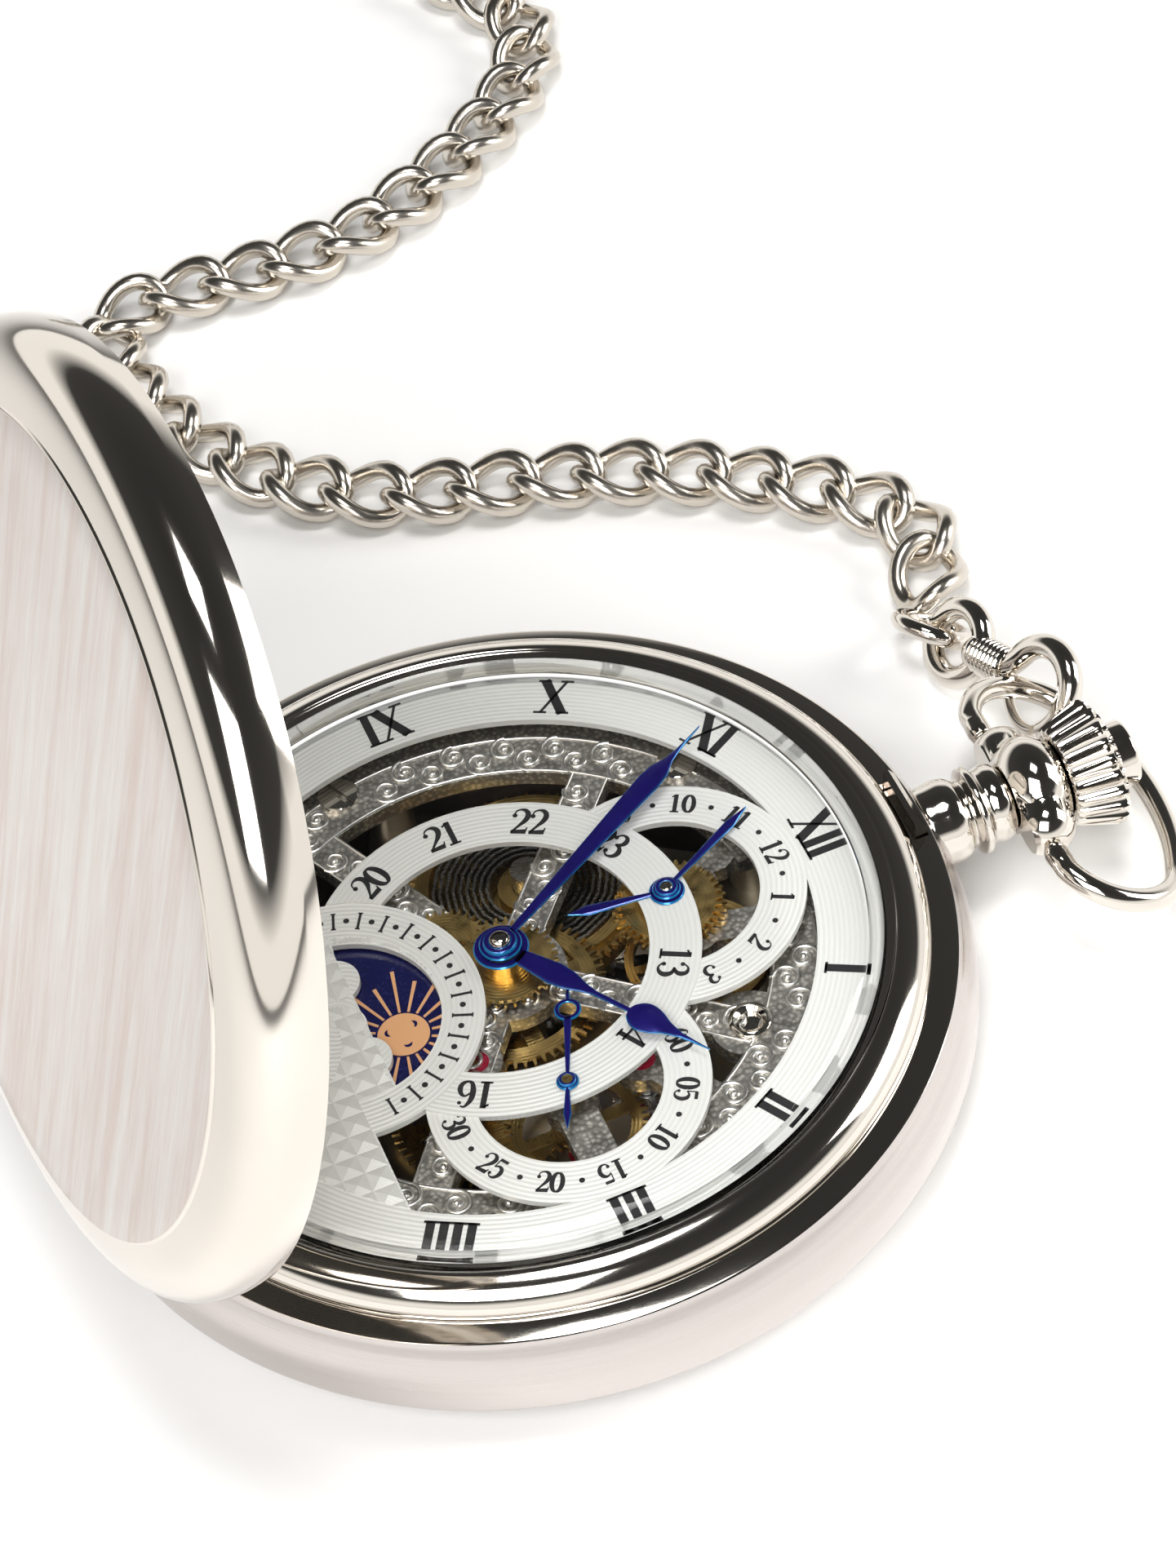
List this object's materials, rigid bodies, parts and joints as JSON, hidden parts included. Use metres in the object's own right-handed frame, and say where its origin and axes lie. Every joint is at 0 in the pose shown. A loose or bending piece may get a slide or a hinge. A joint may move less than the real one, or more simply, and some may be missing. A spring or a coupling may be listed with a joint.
{
  "type": "pocket watch",
  "caption": "Hunter-case pocket watch with a hinged lid, skeleton dial, small dials, day and night disc, crown, bow, swivel clasp and curb chain.",
  "frame": {"origin": "centre of the flat of the rear cover, which the watch lies on", "axes": "+Z out of the dial along the axis of the case, +Y to twelve o'clock and the crown, +X to three o'clock"},
  "size_m": [0.2176, 0.0679, 0.0576],
  "materials": {
    "polished_steel": "polished",
    "grey_steel": "satin",
    "plated_movement": "engraved",
    "gilt_brass": "polished",
    "blued_steel": "gloss",
    "crystal": "clear",
    "ruby": "gloss",
    "dial_silver": "satin",
    "night_blue": "gloss"
  },
  "bodies": {
    "case": {"mid_case": "polished_steel", "rear_cover": "polished_steel", "bezel": "polished_steel", "crystal": "crystal", "lid_hinge_pin": "polished_steel", "lid_spring": "grey_steel", "latch_spring": "grey_steel", "pendant_neck": "polished_steel", "pendant_head": "polished_steel", "movement_ring": "plated_movement", "main_plate": "plated_movement", "train_bridge": "plated_movement", "barrel_bridge": "plated_movement", "balance_cock": "plated_movement", "jewels": "ruby", "plate_screws": "blued_steel", "dial_plate": "dial_silver", "day_ring": "dial_silver", "jump_ring": "polished_steel", "chain_run": "polished_steel", "chain_hank": "polished_steel", "chain_ring": "polished_steel", "chain_bar": "polished_steel"},
    "lid": {"front_lid": "polished_steel"},
    "latch": {"lid_latch": "grey_steel"},
    "stem": {"winding_stem": "grey_steel"},
    "crown": {"crown": "polished_steel", "winding_pinion": "grey_steel"},
    "button": {"crown_button": "polished_steel"},
    "bow": {"bow": "polished_steel"},
    "clasp": {"clasp_eye": "polished_steel"},
    "hook": {"clasp_hook": "polished_steel"},
    "gate": {"clasp_gate": "polished_steel"},
    "centre": {"centre_wheel": "gilt_brass"},
    "third": {"third_wheel": "gilt_brass"},
    "fourth": {"fourth_wheel": "gilt_brass", "seconds_hand": "blued_steel"},
    "escape": {"escape_wheel": "grey_steel"},
    "pallets": {"pallet_fork": "grey_steel"},
    "balance": {"balance_wheel": "gilt_brass", "hairspring": "blued_steel"},
    "barrel": {"mainspring_barrel": "gilt_brass", "mainspring": "grey_steel"},
    "ratchet": {"barrel_arbor": "grey_steel", "ratchet_wheel": "grey_steel"},
    "crown_wheel": {"crown_wheel": "grey_steel"},
    "click": {"click": "grey_steel"},
    "minute": {"cannon_pinion": "gilt_brass", "minute_hand": "blued_steel"},
    "hour": {"hour_wheel": "gilt_brass", "hour_hand": "blued_steel"},
    "minute_wheel": {"minute_wheel": "gilt_brass"},
    "dual_minute": {"dual_minute_wheel": "gilt_brass", "dual_minute_hand": "blued_steel"},
    "dual_hour": {"dual_hour_wheel": "gilt_brass", "dual_hour_hand": "blued_steel"},
    "day": {"day_wheel": "gilt_brass", "sun_disc": "night_blue"}
  },
  "joints": [
    {"name": "lid_hinge", "type": "hinge", "parent": "case", "child": "lid", "pos_m": [0.00202, -0.02517, 0.00884], "axis": [0.9968, 0.0802, 0], "range_deg": [-73.7, 0], "stiffness_Nm_per_rad": 0.004, "springref_deg": 28.65},
    {"name": "latch_release", "type": "slide", "parent": "case", "child": "latch", "axis": [0, -1, 0], "range_m": [0, 0.00025]},
    {"name": "crown_pull", "type": "slide", "parent": "case", "child": "stem", "axis": [0, 1, 0], "range_m": [0, 0.001]},
    {"name": "crown_turn", "type": "hinge", "parent": "stem", "child": "crown", "pos_m": [0, 0.035, 0.006], "axis": [0, 1, 0], "continuous": true},
    {"name": "button_press", "type": "slide", "parent": "stem", "child": "button", "axis": [0, -1, 0], "range_m": [0, 0.0008], "stiffness_N_per_m": 800},
    {"name": "bow_swing", "type": "hinge", "parent": "case", "child": "bow", "pos_m": [0, 0.031, 0.006], "axis": [1, 0, 0], "range_deg": [-1.5, 25]},
    {"name": "clasp_lift", "type": "hinge", "parent": "case", "child": "clasp", "pos_m": [-0.01714, 0.03334, 0.00198], "axis": [0.2924, -0.9563, 0], "range_deg": [-0.75, 12.5]},
    {"name": "hook_swivel", "type": "hinge", "parent": "clasp", "child": "hook", "pos_m": [-0.01714, 0.03334, 0.00198], "axis": [0.9237, 0.2824, 0.2588], "range_deg": [-8, 15]},
    {"name": "gate_hinge", "type": "hinge", "parent": "hook", "child": "gate", "pos_m": [-0.00993, 0.035, 0.00332], "axis": [-0.0649, 0.7812, -0.6209], "range_deg": [-11, 0], "stiffness_Nm_per_rad": 0.002, "springref_deg": 28.65},
    {"name": "seconds_turn", "type": "hinge", "parent": "case", "child": "fourth", "pos_m": [0.0098, 0, 0.005], "axis": [0, 0, 1], "continuous": true},
    {"name": "third_turn", "type": "hinge", "parent": "case", "child": "third", "pos_m": [0.005, -0.00375, 0.005], "axis": [0, 0, 1], "continuous": true},
    {"name": "centre_turn", "type": "hinge", "parent": "case", "child": "centre", "pos_m": [0, 0, 0.005], "axis": [0, 0, 1], "continuous": true},
    {"name": "escape_turn", "type": "hinge", "parent": "case", "child": "escape", "pos_m": [0.0089, 0.00446, 0.005], "axis": [0, 0, 1], "continuous": true},
    {"name": "barrel_turn", "type": "hinge", "parent": "case", "child": "barrel", "pos_m": [-0.0074, 0.00385, 0.005], "axis": [0, 0, 1], "continuous": true},
    {"name": "pallet_rock", "type": "hinge", "parent": "case", "child": "pallets", "pos_m": [0.0074, 0.007, 0.005], "axis": [0, 0, 1], "range_deg": [-5, 5]},
    {"name": "balance_swing", "type": "hinge", "parent": "case", "child": "balance", "pos_m": [0.002, 0.0104, 0.005], "axis": [0, 0, 1], "range_deg": [-220, 220], "stiffness_Nm_per_rad": 0.000002},
    {"name": "ratchet_turn", "type": "hinge", "parent": "case", "child": "ratchet", "pos_m": [-0.0074, 0.00385, 0.002], "axis": [0, 0, 1], "continuous": true},
    {"name": "crown_wheel_turn", "type": "hinge", "parent": "case", "child": "crown_wheel", "pos_m": [-0.0018, 0.0132, 0.002], "axis": [0, 0, 1], "continuous": true},
    {"name": "click_pivot", "type": "hinge", "parent": "case", "child": "click", "pos_m": [-0.0149, 0.0022, 0.002], "axis": [0, 0, 1], "range_deg": [0, 12], "stiffness_Nm_per_rad": 0.0001, "springref_deg": -17.19},
    {"name": "minute_turn", "type": "hinge", "parent": "case", "child": "minute", "pos_m": [0, 0, 0.009], "axis": [0, 0, 1], "continuous": true},
    {"name": "hour_turn", "type": "hinge", "parent": "case", "child": "hour", "pos_m": [0, 0, 0.009], "axis": [0, 0, 1], "continuous": true},
    {"name": "minute_wheel_turn", "type": "hinge", "parent": "case", "child": "minute_wheel", "pos_m": [-0.003, -0.00257, 0.008], "axis": [0, 0, 1], "continuous": true},
    {"name": "dual_minute_turn", "type": "hinge", "parent": "case", "child": "dual_minute", "pos_m": [0, 0.0098, 0.009], "axis": [0, 0, 1], "continuous": true},
    {"name": "dual_hour_turn", "type": "hinge", "parent": "case", "child": "dual_hour", "pos_m": [0, 0.0098, 0.009], "axis": [0, 0, 1], "continuous": true},
    {"name": "day_turn", "type": "hinge", "parent": "case", "child": "day", "pos_m": [0, -0.0098, 0.008], "axis": [0, 0, 1], "continuous": true}
  ],
  "couplings": [
    {"joint": "latch_release", "follows": "button_press", "ratio": 0.3125},
    {"joint": "clasp_lift", "follows": "bow_swing", "ratio": 0.5},
    {"joint": "third_turn", "follows": "seconds_turn", "ratio": -0.125},
    {"joint": "centre_turn", "follows": "seconds_turn", "ratio": 0.016667},
    {"joint": "escape_turn", "follows": "seconds_turn", "ratio": -8},
    {"joint": "barrel_turn", "follows": "seconds_turn", "ratio": -0.0027778},
    {"joint": "crown_wheel_turn", "follows": "crown_turn", "ratio": -0.375},
    {"joint": "ratchet_turn", "follows": "crown_turn", "ratio": 0.27273},
    {"joint": "hour_turn", "follows": "minute_turn", "ratio": 0.083333},
    {"joint": "minute_wheel_turn", "follows": "minute_turn", "ratio": -0.33333},
    {"joint": "dual_minute_turn", "follows": "minute_turn", "ratio": 1},
    {"joint": "dual_hour_turn", "follows": "minute_turn", "ratio": 0.083333},
    {"joint": "day_turn", "follows": "minute_turn", "ratio": 0.041667}
  ]
}
